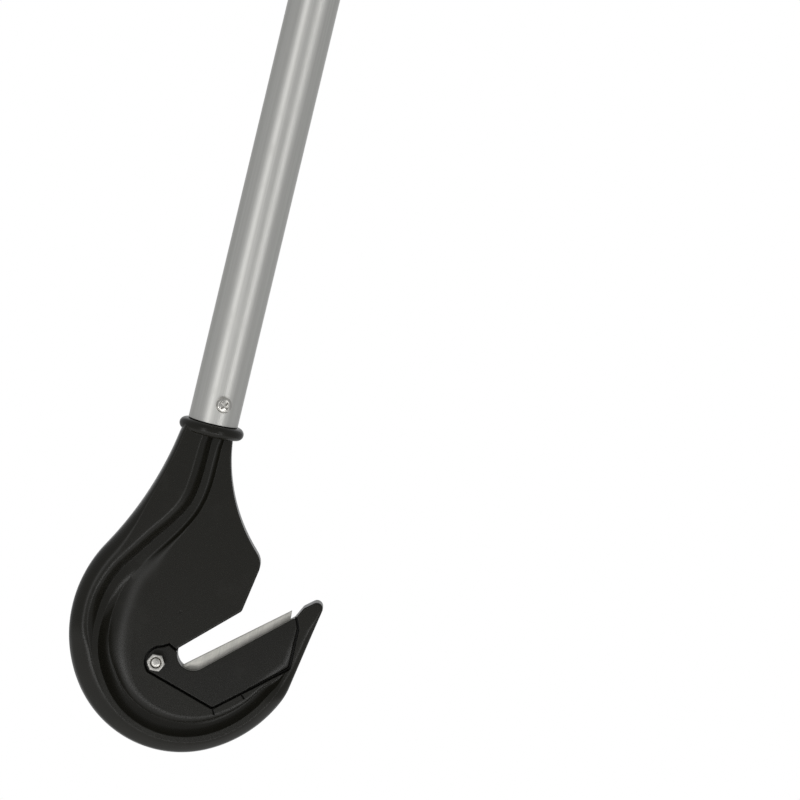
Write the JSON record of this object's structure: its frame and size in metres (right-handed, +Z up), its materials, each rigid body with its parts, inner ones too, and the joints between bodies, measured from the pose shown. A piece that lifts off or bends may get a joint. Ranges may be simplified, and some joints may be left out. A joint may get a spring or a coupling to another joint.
{
  "type": "long-handled hoof wrap cutter",
  "caption": "Long tube handle with a moulded hooked head: a slanted throat guides a wrap onto a straight blade held under a bolted cover plate.",
  "frame": {"origin": "centre of the hanging hole in the cap at the upper end of the handle", "axes": "+Z up along the tube, +X towards the nose of the hook, -Y towards the front, where the cover and the nut are"},
  "size_m": [0.1213, 0.0326, 0.8999],
  "materials": {
    "black_plastic": "semi-gloss moulded plastic, scuffed",
    "cover_plastic": "satin moulded plastic",
    "brushed_tube": "drawn, satin, unpainted",
    "blade_steel": "ground",
    "plated_steel": "zinc plated",
    "grip_rubber": "matte, ribbed"
  },
  "bodies": {
    "handle": {"hook_head": "black_plastic", "handle_tube": "brushed_tube", "tube_screw": "plated_steel", "clamp_bolt": "plated_steel", "hand_grip": "grip_rubber", "hanging_cap": "black_plastic"},
    "cover": {"blade_cover": "cover_plastic"},
    "nut": {"clamp_nut": "plated_steel"},
    "blade": {"cutting_blade": "blade_steel"}
  },
  "joints": [
    {"name": "cover_lift", "type": "slide", "parent": "handle", "child": "cover", "axis": [0, -1, 0], "range_m": [0, 0.006]},
    {"name": "nut_turn", "type": "hinge", "parent": "cover", "child": "nut", "pos_m": [0.0003, -0.0086, -0.8444], "axis": [0, -1, 0], "range_deg": [0, 2750]},
    {"name": "blade_lift", "type": "slide", "parent": "handle", "child": "blade", "axis": [0, -1, 0], "range_m": [0, 0.0031]}
  ],
  "couplings": [
    {"joint": "nut_turn", "follows": "cover_lift", "rad_per_m": 7854},
    {"joint": "blade_lift", "follows": "cover_lift", "ratio": 0.5}
  ]
}
